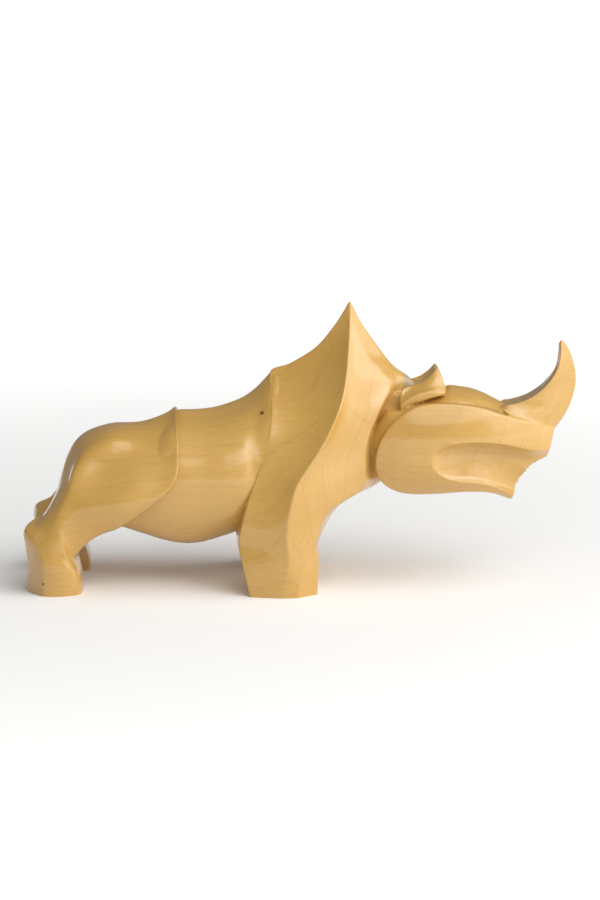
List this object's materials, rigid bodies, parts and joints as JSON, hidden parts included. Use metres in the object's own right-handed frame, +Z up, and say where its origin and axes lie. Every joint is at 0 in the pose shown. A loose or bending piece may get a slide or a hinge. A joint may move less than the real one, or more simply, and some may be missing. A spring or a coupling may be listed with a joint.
{
  "type": "rhinoceros figurine",
  "caption": "Carved rhinoceros of varnished pale hardwood, standing on all fours with a peaked shoulder ridge and an upswept horn.",
  "frame": {"origin": "on the surface that the feet stand on, under the middle of the bounding box", "axes": "+X towards the head, +Y towards the animal's left side, +Z up"},
  "size_m": [0.3499, 0.111, 0.1797],
  "materials": {
    "varnished_hardwood": "pale golden hardwood with fine fleck and thin growth lines, under clear satin to semi-gloss varnish"
  },
  "bodies": {
    "root": {"rhinoceros": "varnished_hardwood"}
  },
  "joints": []
}
